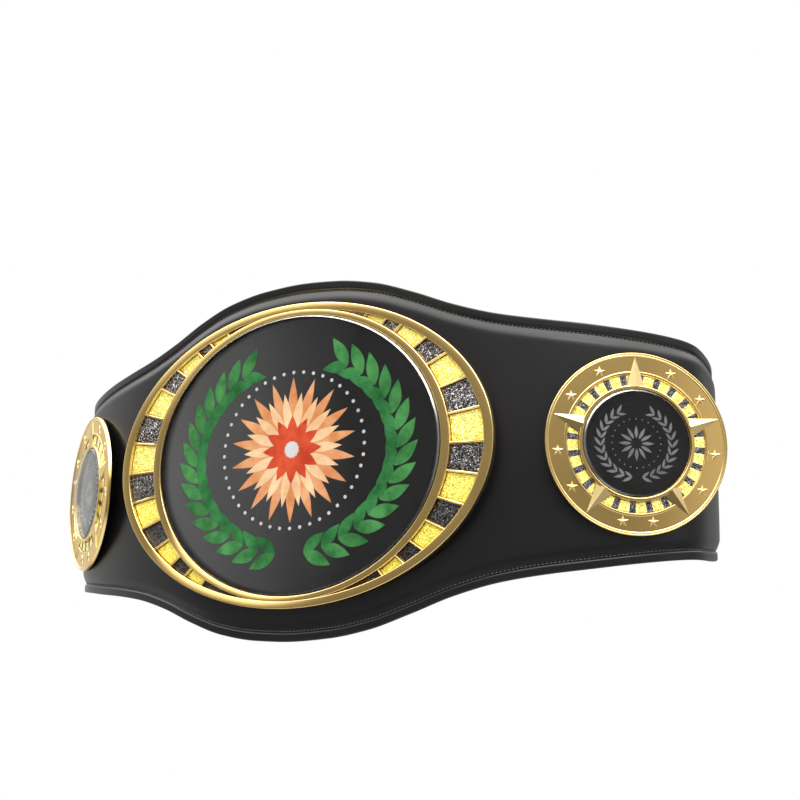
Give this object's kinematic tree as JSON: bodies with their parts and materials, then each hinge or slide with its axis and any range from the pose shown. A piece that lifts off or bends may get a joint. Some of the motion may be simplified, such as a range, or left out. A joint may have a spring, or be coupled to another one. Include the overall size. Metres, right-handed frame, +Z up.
{
  "type": "championship title belt",
  "caption": "Padded leather waist strap with an oval glitter-inlaid main plate, a round star plate at each side and a snap closure at the back.",
  "frame": {"origin": "middle of the waist hollow, level with the strap's mid-height", "axes": "+X to the viewer's right along the front, -Y out of the main plate towards the viewer, +Z up along the wearer's waist"},
  "size_m": [0.5656, 0.2248, 0.2552],
  "materials": {
    "leather": "black satin, fine grain, padded and stitched",
    "gold": "gold plated, satin flats with polished bevels",
    "gold_glitter": "gold glitter enamel",
    "black_glitter": "black glitter enamel with silver specks",
    "black_disc": "matt black",
    "clear_dome": "clear, polished"
  },
  "bodies": {
    "root": {"back_snap_lower": "gold", "back_snap_upper": "gold", "left_inlay_01_black": "black_glitter", "left_inlay_02_gold": "gold_glitter", "left_inlay_03_black": "black_glitter", "left_inlay_04_gold": "gold_glitter", "left_inlay_05_black": "black_glitter", "left_inlay_06_gold": "gold_glitter", "left_inlay_07_black": "black_glitter", "left_inlay_08_gold": "gold_glitter", "left_inlay_09_black": "black_glitter", "left_inlay_10_gold": "gold_glitter", "left_inlay_11_black": "black_glitter", "left_inlay_12_gold": "gold_glitter", "left_inlay_13_black": "black_glitter", "left_inlay_14_gold": "gold_glitter", "left_inlay_15_black": "black_glitter", "left_side_disc": "black_disc", "left_side_dome": "clear_dome", "left_side_plate": "gold", "left_side_tiles_1": "gold_glitter", "left_side_tiles_2": "gold_glitter", "left_side_tiles_3": "gold_glitter", "left_side_tiles_4": "gold_glitter", "left_side_tiles_5": "gold_glitter", "main_disc": "black_disc", "main_dome": "clear_dome", "main_plate": "gold", "padded_panel": "leather", "right_inlay_01_black": "black_glitter", "right_inlay_02_gold": "gold_glitter", "right_inlay_03_black": "black_glitter", "right_inlay_04_gold": "gold_glitter", "right_inlay_05_black": "black_glitter", "right_inlay_06_gold": "gold_glitter", "right_inlay_07_black": "black_glitter", "right_inlay_08_gold": "gold_glitter", "right_inlay_09_black": "black_glitter", "right_inlay_10_gold": "gold_glitter", "right_inlay_11_black": "black_glitter", "right_inlay_12_gold": "gold_glitter", "right_inlay_13_black": "black_glitter", "right_inlay_14_gold": "gold_glitter", "right_inlay_15_black": "black_glitter", "right_side_disc": "black_disc", "right_side_dome": "clear_dome", "right_side_plate": "gold", "right_side_tiles_1": "gold_glitter", "right_side_tiles_2": "gold_glitter", "right_side_tiles_3": "gold_glitter", "right_side_tiles_4": "gold_glitter", "right_side_tiles_5": "gold_glitter", "strap_backing": "leather"}
  },
  "joints": []
}
